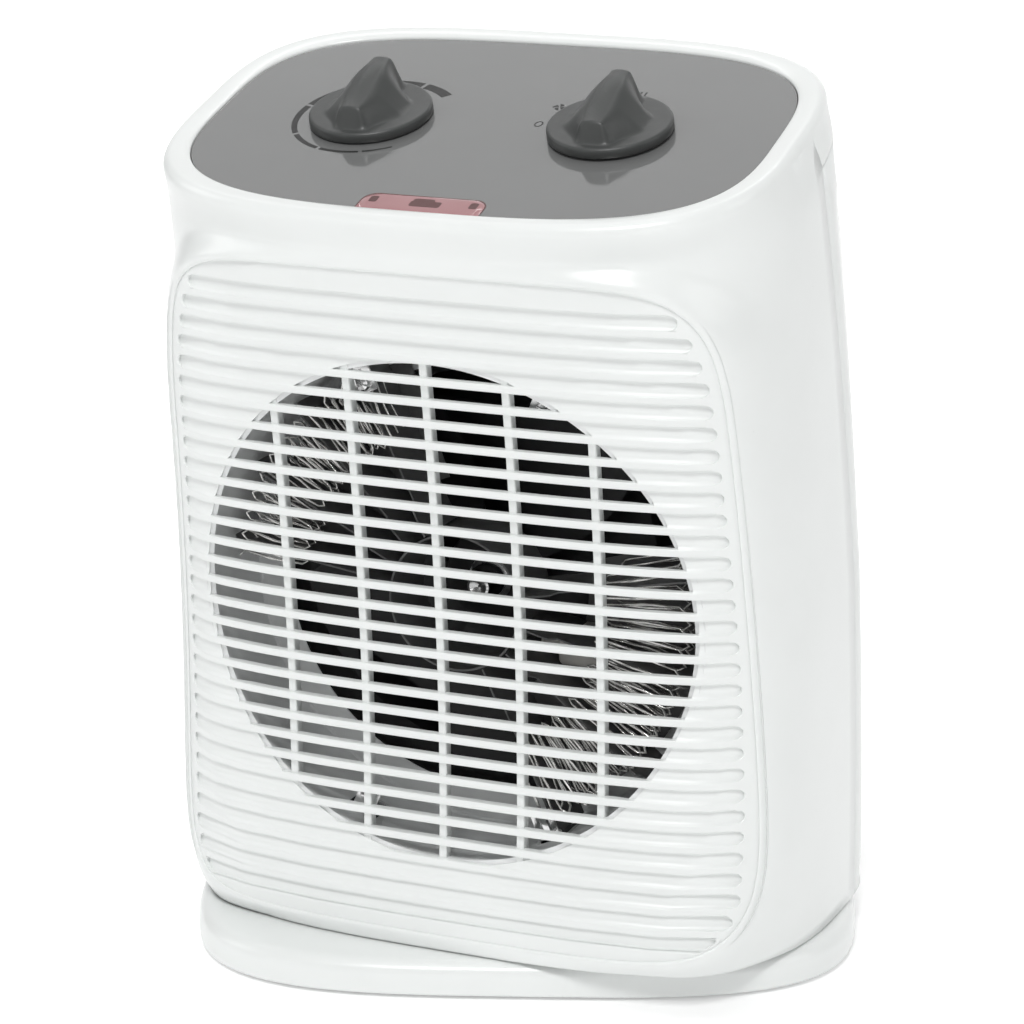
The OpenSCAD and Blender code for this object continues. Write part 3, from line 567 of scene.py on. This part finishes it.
def front_grille():
    gap, face = GAP_HALF, PITCH / 2 - GAP_HALF
    in_groove = ((-gap, .3), (-gap + .25, .55), (-gap + .6, .85), (-gap + 1.1, 1.1), (-.3, 1.2), (.7, 1.27),
                 (gap - .3, 1.33),
                 (gap - .06, 1.25), (gap, .75))
    above_rib, below_rib = ((-face + .05, .3), (-face + .2, .08), (-face + .4, 0)), ((face - .6, 0),
            (face - .3, .05), (face - .1, .16))
    rows = []
    for i in range(GROOVES - 1, -1, -1):
        zc = groove_z(i)
        rows += [(zc + dz, off, i, dz, True) for dz, off in in_groove]
        if i > 0:
            rows += [(zc + PITCH / 2 + dz, off, i, dz, False) for dz,
                     off in (*above_rib, (0, 0), *below_rib)]
    low_rows = [(z, 0, GROOVES - 1, 0,
            False) for z in INSERT_Z - INSERT_H * np.array([1.003, .9995, .997, .992, .983, .97, .953])]
    first = groove_z(GROOVES - 1) - gap - face
    low_rows += [(first + dz, off, GROOVES - 1, 0, False) for dz, off in below_rib]
    last = groove_z(0) + gap + face
    high_rows = [(last + dz, off, 0, 0, False) for dz, off in above_rib]
    high_rows += [(z, 0, 0, 0,
            False) for z in INSERT_Z + INSERT_H * np.array([.935, .953, .97, .983, .992, .997, .9995,
                                                            1.003])]
    rows = sorted(low_rows + rows + high_rows, key=lambda r: r[0])
    outer, open_row = [], []
    for z, off, i, dz, in_gap in rows:
        u = min(0.9999, abs(z - INSERT_Z) / (INSERT_H + 0.3))
        w = (INSERT_W - INSERT_TAPER * (z - INSERT_Z)) * (1 - u ** INSERT_EXP) ** (1 / INSERT_EXP) + 0.3
        end = groove_end(i if in_gap else i - 0.5) if z < groove_z(0) else groove_end(0)
        end = end - gap + (math.sqrt(max(0, gap * gap - dz * dz)) if in_gap else 0)
        end = min(end, w - 2.2)
        is_open = in_gap and i in OPEN
        reach = OUTLET_R ** 2 - (z - GRILLE_Z) ** 2
        cut = math.sqrt(reach) if reach > 9 else 3.0
        cut = min(cut, end - 1.5)
        right = list(np.linspace(0, cut, 12)) + [cut + (end - cut) * k for k in (.2, .5, .8, 1)]
        n_floor = len(right)
        right += [end + .12, end + .45, end + .5 * (w - end), w - 1.2, w - .55, w - .15, w]
        right = sorted(right[:n_floor]) + right[n_floor:]
        offs = [off] * n_floor + [off * .25, 0, 0, 0, .03, .15, .4]
        cap = 0.4 if abs(z - INSERT_Z) > INSERT_H else 0
        xs = np.array([-v for v in right[::-1]] + right[1:])
        os_ = np.array(offs[::-1] + offs[1:]) + cap
        outer.append(np.stack([xs, grille_y(xs, z) + os_, 0 * xs + z], 1))
        open_row.append(is_open)
    outer = np.array(outer)
    inner = outer.copy()
    from_axis = np.hypot(outer[..., 0], outer[..., 2] - GRILLE_Z)
    inner[..., 1] = grille_y(outer[..., 0], outer[..., 2]) + np.where(from_axis > OUTLET_R - 1.2,
                                                                      EDGE_DEPTH, RIB_DEPTH)
    m, n = outer.shape[:2]
    half = n // 2
    solid = np.ones((m - 1, n - 1), bool)
    for r in range(m - 1):
        if open_row[r] and open_row[r + 1] and abs(outer[r + 1, 0, 2] - outer[r, 0, 2]) < 2.9:
            solid[r, half - 11:half + 11] = False
    faces = []
    at = lambda r, c, side: side * m * n + r * n + c
    full = lambda r, c: 0 <= r < m - 1 and 0 <= c < n - 1 and solid[r, c]
    for r in range(m - 1):
        for c in range(n - 1):
            if not solid[r, c]:
                continue
            faces.append((at(r, c, 0), at(r, c + 1, 0), at(r + 1, c + 1, 0), at(r + 1, c, 0)))
            faces.append((at(r, c, 1), at(r + 1, c, 1), at(r + 1, c + 1, 1), at(r, c + 1, 1)))
            if not full(r - 1, c):
                faces.append((at(r, c, 0), at(r, c, 1), at(r, c + 1, 1), at(r, c + 1, 0)))
            if not full(r + 1, c):
                faces.append((at(r + 1, c, 0), at(r + 1, c + 1, 0), at(r + 1, c + 1, 1), at(r + 1, c, 1)))
            if not full(r, c - 1):
                faces.append((at(r, c, 0), at(r + 1, c, 0), at(r + 1, c, 1), at(r, c, 1)))
            if not full(r, c + 1):
                faces.append((at(r, c + 1, 0), at(r, c + 1, 1), at(r + 1, c + 1, 1), at(r + 1, c + 1, 0)))
    b = Builder()
    b.add(np.vstack([outer.reshape(-1, 3), inner.reshape(-1, 3)]), faces)
    for k in range(-2, 3):
        x0 = k * BAR_STEP
        half_len = math.sqrt(OUTLET_R ** 2 - x0 ** 2) + 1.0
        rings = []
        for z in np.linspace(GRILLE_Z - half_len, GRILLE_Z + half_len, 60):
            y0 = float(grille_y(x0, z))
            section = [(-1.2, 1.7), (-1.0, 1.4), (1.0, 1.4), (1.2, 1.7), (1.1, 5.0), (-1.1, 5.0)]
            rings.append([(x0 + a, y0 + d, z) for a, d in section])
        b.loft(rings)
    return b.make("outlet_grille", "body", "white_plastic", grille_white, ["front_grille"])


# ---------- control top ----------

def on_top(x, y, h):
    return top_point(np.asarray(x, float), np.asarray(y, float), np.asarray(h, float))


def rounded(half_w, low, high, r, n=8):
    """Outline of a rounded rectangle."""
    out = []
    for cx, cy, a0 in ((half_w - r, high - r, 0), (-half_w + r, high - r, 90), (-half_w + r, low + r, 180),
                       (half_w - r, low + r, 270)):
        for a in np.radians(np.linspace(a0, a0 + 90, n)):
            out.append((cx + r * math.cos(a), cy + r * math.sin(a)))
    return out


LENS = (18.3, -54.6, -45.4)
SHAFT_HOLE_R = 3.6


def control_panel():
    t = t_samples(0, 360)[:-1]
    loop = np.stack(top_oval_xy(t, -0.05), 1)
    loop = even(loop, 200)
    b = Builder()
    a = np.linspace(2 * np.pi, 0, 32, endpoint=False)
    holes = [np.stack([x + SHAFT_HOLE_R * np.cos(a), SHAFT_HOLE_R * np.sin(a)], 1) for x in (-KNOB_X,
                                                                                             KNOB_X)]
    b.pierced([loop, *holes], PANEL_H - 2.9, PANEL_H, on_top)
    b.make("panel_plate", "body", "panel_grey", grey_panel, ["control_panel"], angle=30)
    marks = Builder()
    top = PANEL_H + 0.04
    for a0, a1 in ((-51, -73.5), (-76.5, -108.5), (-111.5, -142.5), (-145.5, -191.5), (-194.5, -238.5),
                   (-241.5, -286.5), (-289.5, -315)):
        steps = np.linspace(a0, a1, 16)
        outer_r = 22.4 + (25.3 - 22.4) * (-51 - steps) / 264
        inner_r = 21.7 + (22.0 - 21.7) * (-51 - steps) / 264
        arc = [(-KNOB_X + r * math.cos(math.radians(s)), r * math.sin(math.radians(s))) for s,
               r in zip(steps, outer_r)]
        arc += [(-KNOB_X + r * math.cos(math.radians(s)), r * math.sin(math.radians(s))) for s,
                r in zip(steps[::-1], inner_r[::-1])]
        marks.prism(arc[::-1], top - 0.3, top, on_top)

    def place(r, a):
        return KNOB_X + r * math.cos(math.radians(a)), r * math.sin(math.radians(a))

    cx, cy = place(23.2, 173)
    ring_a = np.linspace(0, 2 * np.pi, 32, endpoint=False)
    rings = [[(cx + rx * math.cos(v), cy + ry * math.sin(v), h) for v in ring_a] for rx, ry, h in
             ((1.25, 1.75, top), (1.25, 1.75, top - .3), (0.85, 1.35, top - .3), (0.85, 1.35, top))]
    marks.loft([on_top(*np.array(r).T) for r in rings], close=True)
    cx, cy = place(25.4, 146)
    for k in range(4):
        v = math.radians(45 + 90 * k)
        blade = [(cx + 0.3 * math.cos(v), cy + 0.3 * math.sin(v))]
        for q in np.linspace(-0.15, 1.0, 7):
            blade.append((cx + 2.1 * math.cos(v + q) * (0.75 + 0.25 * q),
                          cy + 2.1 * math.sin(v + q) * (0.75 + 0.25 * q)))
        marks.prism(blade, top - 0.3, top, on_top)
    for a, offsets in ((118, (0,)), (89, (-0.75, 0.75))):
        cx, cy = place(25.6, a)
        for o in offsets:
            marks.prism([(cx + o - .22, cy - 1.5), (cx + o + .22, cy - 1.5), (cx + o + .22, cy + 1.5),
                         (cx + o - .22, cy + 1.5)],
                        top - 0.3, top, on_top)
    marks.make("panel_marks", "body", "black_plastic", print_black)
    b = Builder()
    w, low, high = LENS
    shape = np.array([(p, max(q, low + 0.1)) for p, q in rounded(w, low - 8, high, 4.2)])
    centre = shape.mean(0)
    seat = Builder()
    seat.prism((shape - centre) * [1.022, 1.09] + centre, PANEL_H - 1.5, PANEL_H + 0.03, on_top)
    seat.make("lens_seat", "body", "lamp_glass", lamp_dark)
    rings = [on_top(centre[0] + (shape[:, 0] - centre[0]) * k, centre[1] + (shape[:, 1] - centre[1]) * k,
                    PANEL_H + h + 0 * shape[:, 0])
             for k, h in ((1, -2.5), (1, 0.05), (.985, 0.16), (.9, 0.2), (.4, 0.22))]
    b.loft(rings)
    b.make("lens_window", "body", "lens_pink", lens_pink, ["indicator_lens"], angle=60)
    b = Builder()
    for half_x, y0, y1, at_x in ((1.2, -50.5, -47.2, -14.9), (1.2, -50.5, -47.2, 15.1)):
        b.prism([(at_x + p, q) for p, q in rounded(half_x, y0, y1, 0.6, 4)], PANEL_H - 0.9, PANEL_H + 0.24,
                on_top)
    b.prism(rounded(3.2, -51.5, -46.9, 1.0, 4), PANEL_H - 0.9, PANEL_H + 0.235, on_top)
    b.prism([(p + 1.0, q) for p, q in rounded(4.6, -51.5, -48.2, 0.8, 4)], PANEL_H - 0.9, PANEL_H + 0.23,
            on_top)
    b.make("lens_inner_lamp", "body", "lamp_glass", lamp_dark)


def knob(name, cad_knob, body, centre_x, stand):
    """A round skirt with a tall waisted grip running from front to back."""
    radius, skirt = 18.1, 3.0
    steps = 160
    r = np.concatenate([np.linspace(0, 16.6, 46), [17.0, 17.35, 17.65, 17.88, 18.03, 18.1]])
    a = np.linspace(0, 2 * np.pi, steps, endpoint=False)
    x, y = np.outer(r, np.cos(a)), np.outer(r, np.sin(a))
    rr = np.hypot(x, y)
    skirt_top = skirt + 0.5 * (1 - (rr / radius) ** 2) - 0.9 * (1
            - np.sqrt(np.clip(1 - (np.clip(rr - 17.2, 0, .9) / .9) ** 2, 0, 1)))
    ridge = 13.5 - 4.6 * smooth(-y, -8, 16)
    ends = smooth(y, -15.6, -12.6) * (1 - smooth(y, 11.8, 16.6))
    base_half = 5.6 + 7.5 * smooth(y, -15, -4) * (1 - smooth(y, 2, 12))
    across = 1 - smooth(np.abs(x), 2.6, base_half)
    crown = 1 - 0.05 * np.clip(np.abs(x) / 2.6, 0, 1) ** 2
    height = skirt_top + (ridge - skirt_top) * across * crown * ends
    low = PANEL_H + stand
    rings = [np.stack([x[i], y[i], height[i] + low], 1) for i in range(1, len(r))]
    rings = [np.tile([[0, 0, height[0, 0] + low]],
                     (steps, 1)) * 1.0 + np.stack([x[1] * .02, y[1] * .02, 0 * x[1]], 1)] + rings
    rings += [np.stack([x[-1], y[-1], low + 0.25 + 0 * x[-1]], 1),
              np.stack([x[-1] * .985, y[-1] * .985, low + 0 * x[-1]], 1)]
    b = Builder()
    b.loft([on_top(centre_x + q[:, 0], q[:, 1], q[:, 2]) for q in rings])
    return b.make(name, body, "knob_grey", knob_dark, [cad_knob], angle=50, flip=True)


# ---------- heater ----------

AXIS = np.array([0.0, 0.0, GRILLE_Z])
DUCT_BACK = duct_high[1]


def heater():
    b = Builder()
    rings = []
    for a in np.linspace(0, 2 * np.pi, 160, endpoint=False):
        c, s = math.cos(a), math.sin(a)
        front = float(grille_y(77 * c, GRILLE_Z + 77 * s)) + EDGE_DEPTH + 0.1
        rings.append([(r * c, y, GRILLE_Z + r * s) for r, y in
                      ((78.6, front), (78.6, front + .8), (76.4, front + .8), (76.4, DUCT_BACK + .9),
                       (66.4, DUCT_BACK + .9), (66, DUCT_BACK + .5), (66, DUCT_BACK), (75, DUCT_BACK),
                       (75.6, DUCT_BACK - .6), (75.6, front))])
    b.loft(rings, close=True)
    b.make("heat_shield", "body", "shield_metal", shield, ["heater_duct"], angle=40)
    arcs = ((-27, 80, 44, 69), (144, 60, 50, 70))
    cards, coils = Builder(), Builder()
    for m, span, r_in, r_out in arcs:
        sweep = np.radians(np.linspace(m - span / 2 - 4, m + span / 2 + 4, 40))
        rings = []
        for a in sweep:
            c, s = math.cos(a), math.sin(a)
            rings.append([(r * c, y, GRILLE_Z + r * s) for r,
                          y in ((70, -34.2), (70, -33.6), (33, -33.6), (33, -34.2))])
        cards.loft(rings)
        for k in range(4):
            a = math.radians(m + (k - 1.5) * (span - 4) / 3)
            c, s = math.cos(a), math.sin(a)
            outline = [(21, -57), (30, -57), (32, -54), (72, -54), (75, -50), (75, -34), (21, -34)]
            rings = [[(r * c - o * s, y, GRILLE_Z + r * s + o * c) for r, y in outline] for o in (-.25,
                                                                                                  .25)]
            cards.loft(rings)
        for layer, y0 in enumerate((-53.5, -47.5, -41.5, -36.5)):
            path = []
            legs = round(span / 2.6)
            inner, outer = r_in + layer * .8, r_out - layer * .8
            for k in range(legs):
                a = math.radians(m - span / 2 + span * k / (legs - 1) + layer * 0.9)
                step = math.radians(span / (legs - 1) / 2)
                ends = (inner, outer) if k % 2 == 0 else (outer, inner)
                lean = 1.6 if k % 2 else -1.6
                for q in np.linspace(0.03, 0.97, 9):
                    r = ends[0] + (ends[1] - ends[0]) * q
                    path.append((r * math.cos(a), y0 + lean * (1 - 2 * abs(q - .5)),
                                 GRILLE_Z + r * math.sin(a)))
                r = ends[1] + (1.2 if ends[1] > ends[0] else -1.0)
                path.append((r * math.cos(a + step), y0, GRILLE_Z + r * math.sin(a + step)))
            coils.tube(path, 0.42, 6)
    cards.turned([(20, -57), (20.6, -57), (20.6, -34), (20, -34)], AXIS)
    cards.make("mica_frame", "body", "mica", mica, ["mica_boards"])
    coils.make("zigzag_wire", "body", "resistance_wire", wire, ["heating_wire"], angle=60)
    b = Builder()
    for a in (66, 114, 246, 294):
        v = math.radians(a)
        c, s = math.cos(v), math.sin(v)
        for o, width, y0, y1, r0, r1 in ((0, 3.4, -57, -56.3, 66, 75.4), (0, 5, -57, -46, 74.7, 75.5),
                                         (1.6, 0.9, -60, -56.4, 66, 73)):
            rings = [[(r * c - (o + w) * s, y, GRILLE_Z + r * s + (o + w) * c) for r,
                      w in ((r0, -width), (r1, -width), (r1, width), (r0, width))]
                     for y in (y0, y1)]
            b.loft(rings)
        head = np.array([69 * c, 0, GRILLE_Z + 69 * s])
        b.turned([(.6, -58.6), (1.9, -58.4), (2.4, -57.7), (2.4, -57), (.6, -57)], head, steps=20)
    b.make("element_clips", "body", "screw_steel", bright, ["element_brackets"], angle=30)
    b = Builder()
    box_at = np.array([32.5, 0, GRILLE_Z - 14.5])
    shape = np.array(rounded(7.2, -6.4, 6.4, 1.6))
    rings = [np.stack([box_at[0] + shape[:, 0] * k, y + 0 * shape[:, 0], box_at[2] + shape[:, 1] * k], 1)
             for k, y in ((.94, -38.6), (1, -38.2), (1, -34.6), (.96, -34.3))]
    b.loft(rings)
    for side in (-1, 1):
        tab = np.array([(6.8, -2), (12.5, -2), (13.4, -1), (13.4, 1), (12.5, 2), (6.8, 2)]) * [side, 1]
        b.loft([np.stack([box_at[0] + tab[:, 0], y + 0 * tab[:, 0], box_at[2] + tab[:, 1]],
                         1) for y in (-36.6, -35.9)])
    b.make("overheat_cutout", "body", "ceramic", ceramic, ["thermal_cutout"], angle=40)


def fan():
    nut_low, nut_high = box("impeller_nut")
    mid = joints["fan_spin"]["pos_m"][1] * 1000
    b = Builder()
    b.turned([(2.55, mid - 8.5), (13.5, mid - 8.5), (14.6, mid - 8.1), (15, mid - 7.2), (15, mid + 8.5),
              (12.5, mid + 8.5), (12.2, mid - 5.5),
              (5.5, mid - 5), (5.3, mid + 6), (2.55, mid + 6)], AXIS)
    count = 5
    for k in range(count):
        base = 2 * math.pi * k / count
        rings = []
        for r in np.linspace(14.2, 61.8, 14):
            f = (r - 14.2) / 47.6
            arc = 1.3 * 2 * math.pi * r / count
            pitch = math.atan(15.6 / arc)
            chord = 15.6 / math.sin(pitch)
            skew = 0.30 * f * f
            section = []
            for side in (1, -1):
                qs = np.linspace(-.5, .5, 9) if side == 1 else np.linspace(.5, -.5, 9)[1:-1]
                for q in qs:
                    thick = 0.6 * (1 - (2 * q) ** 4 * .7) * side
                    camber = 0.9 * (1 - 4 * q * q)
                    along, off = q * chord, camber + thick
                    section.append((along * math.cos(pitch) - off * math.sin(pitch),
                                    along * math.sin(pitch) + off * math.cos(pitch)))
            ring = []
            for u, y in section:
                a = base + skew + u / r
                ring.append((r * math.cos(a), mid + y, GRILLE_Z + r * math.sin(a)))
            rings.append(ring)
        b.loft(rings)
    b.make("fan_wheel", "fan", "black_plastic", black_plastic, ["fan_impeller"], angle=45)
    b = Builder()
    back, front = nut_high[1], nut_low[1]
    b.turned([(2.55, back), (6.6, back), (6.9, back - .4), (6.9, back - 1.4), (6.3, back - 1.8),
              (5.4, back - 2.2), (5.3, back - 6),
              (4.8, back - 7.2), (3.4, front + .2), (2.7, front), (1.2, front + .9), (0.4, front + 1.1),
              (0.4, front + 2), (2.5, front + 2.4)],
             AXIS, steps=64)
    b.make("hub_nut", "fan", "shaft_steel", bright, ["impeller_nut"], angle=25)


# ---------- base and small CAD pieces ----------

CRANK_CLEAR_R = 41.5
BASE_HALF_W, BASE_HALF_D, BASE_EXP = 101, 74.5, 3.45


def base():
    """The base shell, with a round opening under the casing that clears the crank pin's sweep."""
    a = np.radians(t_samples(0, 360)[:-1])

    def ring(inset, z):
        x = (BASE_HALF_W - inset) * spow(np.cos(a), 2 / BASE_EXP)
        y = (BASE_HALF_D - inset) * spow(np.sin(a), 2 / BASE_EXP)
        return turned(x, y, z)

    def opening(z):
        return turned(CRANK_CLEAR_R * np.cos(a), CRANK_CLEAR_R * np.sin(a), z)

    def turned(x, y, z):
        loop = even(np.stack([x, y], 1), 220)
        c, s = math.cos(BASE_TURN), math.sin(BASE_TURN)
        return np.stack([loop[:, 0] * c - loop[:, 1] * s, loop[:, 0] * s + loop[:, 1] * c,
                         z + 0 * loop[:, 0]], 1)

    top, low = base_high[2], base_low[2]
    profile = [(2.5, low), (0.9, low), (0.45, low + .12), (.12, low + .5), (0, low + 1.1), (0, low + 6.2),
               (.1, low + 7), (.4, low + 7.9),
               (.95, low + 8.7), (1.7, low + 9.35), (2.7, low + 9.85), (3.8, top - .07), (5.2, top),
               (20, top)]
    rings = [ring(i, z) for i, z in profile]
    rings += [opening(top), opening(top - 2.1), ring(2.5, top - 2.1)]
    b = Builder()
    b.loft(rings, close=True)
    b.make("swivel_base", "base", "white_plastic", white, ["base_shell"], angle=40)


def dress(node, material_, width=0.25, angle=40):
    """Shows a CAD node with a material and soft edges."""
    piece = frame["nodes"][node]
    piece.data.materials.clear()
    piece.data.materials.append(material_)
    if width:
        soft = piece.modifiers.new("edges", "BEVEL")
        soft.width = width * 0.001
        soft.segments = 2
        soft.limit_method = "ANGLE"
        soft.angle_limit = math.radians(angle)
        soft.harden_normals = False


casing_front()
casing_rear()
front_grille()
control_panel()
knob("thermostat_grip", "thermostat_knob", "thermostat_turner", -KNOB_X, 0.4)
knob("selector_grip", "selector_knob", "selector_turner", KNOB_X, 0.8)
heater()
fan()
base()
for name, look, width in (
        ("base_plate", grey_plastic, .3), ("rubber_feet", rubber, .35), ("swivel_ring", nylon, .1),
                          ("base_screws", zinc, .15),
        ("body_floor", white, .2), ("swivel_clamp", zinc, .2), ("clamp_screws", zinc, .1),
                          ("oscillation_motor", can, .5),
        ("crank_disc", nylon, .3), ("casing_screws", zinc, .2), ("intake_grille", grille_white, .3),
                          ("pilot_lamp", lamp_glow, .2),
        ("thermostat_shaft", bright, .2), ("thermostat", ceramic, .3), ("selector_shaft", bright, .2),
                          ("rotary_switch", black_plastic, .3),
        ("motor_shaft", bright, .2), ("fan_motor", laminated, .4), ("motor_bracket", dark_core, .3),
                          ("terminal_block", nylon, .3),
        ("internal_wiring", sleeve, .3), ("cable_gland", black_plastic, .3),
                          ("tilt_switch", black_plastic, .4)):
    dress(name, look, width)


# ---------- stage, light and camera ----------

def stage_floor():
    """A pale floor that curves up into a backdrop."""
    m = material("studio_floor", (0.90, 0.90, 0.90), 0.7, spread=0.004, bump=0.01, specular=0.1,
                 emission=(1, 1, 1, 0.24))
    n = 40
    profile = [(-2.5, 0),
               (1.6, 0)] + [(1.6 + 1.2 * math.sin(v), 1.2 - 1.2 * math.cos(v)) for v in np.linspace(0.05,
                       math.pi / 2, 16)] + [(2.8, 4)]
    xs = np.linspace(-4, 4, n)
    points = [(x, y, z) for y, z in profile for x in xs]
    mesh = bpy.data.meshes.new("floor")
    mesh.from_pydata(points, [], grid_faces(len(profile), n))
    mesh.shade_smooth()
    mesh.materials.append(m)
    floor = bpy.data.objects.new("floor", mesh)
    bpy.context.scene.collection.objects.link(floor)


def lamp(name, place, size, power, target=(0, 0, 0.13), tint=(1, 1, 1)):
    light = bpy.data.lights.new(name, "AREA")
    light.shape, light.size, light.size_y = "RECTANGLE", size[0], size[1]
    light.energy, light.color = power, tint
    holder = bpy.data.objects.new(name, light)
    holder.location = place
    holder.rotation_mode = "QUATERNION"
    holder.rotation_quaternion = (Vector(target) - Vector(place)).to_track_quat("-Z", "Y")
    bpy.context.scene.collection.objects.link(holder)
    return holder


stage_floor()
lamp("key", (0.3, -1.3, 1.7), (0.5, 0.5), 21.5)
lamp("fill", (-1.7, -0.5, 1.1), (0.8, 1.2), 6)
lamp("over", (-0.1, -0.2, 1.9), (1.0, 1.0), 4, target=(0, 0, 0.1))
lamp("right", (1.9, 0.1, 1.0), (0.8, 1.2), 5)
lamp("backdrop", (-0.4, 0.8, 1.6), (1.6, 0.5), 26, target=(-0.8, 2.2, 0.2))
lamp("front_right", (1.3, -2.0, 0.55), (0.8, 0.8), 3.5)
lamp("front_left", (-1.1, -2.1, 0.5), (0.6, 0.6), 2)
world = bpy.data.worlds.new("studio")
bpy.context.scene.world = world
world.use_nodes = True
world.node_tree.nodes["Background"].inputs["Color"].default_value = (1, 1, 1, 1)
world.node_tree.nodes["Background"].inputs["Strength"].default_value = 0.2
bpy.context.scene.view_settings.view_transform = "Standard"

camera = bpy.data.cameras.new("camera")
camera.sensor_width = 36
camera.lens = 116.8
camera.clip_start, camera.clip_end = 0.05, 20
eye = bpy.data.objects.new("camera", camera)
eye.location = (0.3694, -0.8984, 0.4014)
back = Vector((0.37077, -0.88829, 0.27107))
eye.rotation_mode = "QUATERNION"
eye.rotation_quaternion = (-back).to_track_quat("-Z", "Y")
bpy.context.scene.collection.objects.link(eye)
bpy.context.scene.camera = eye
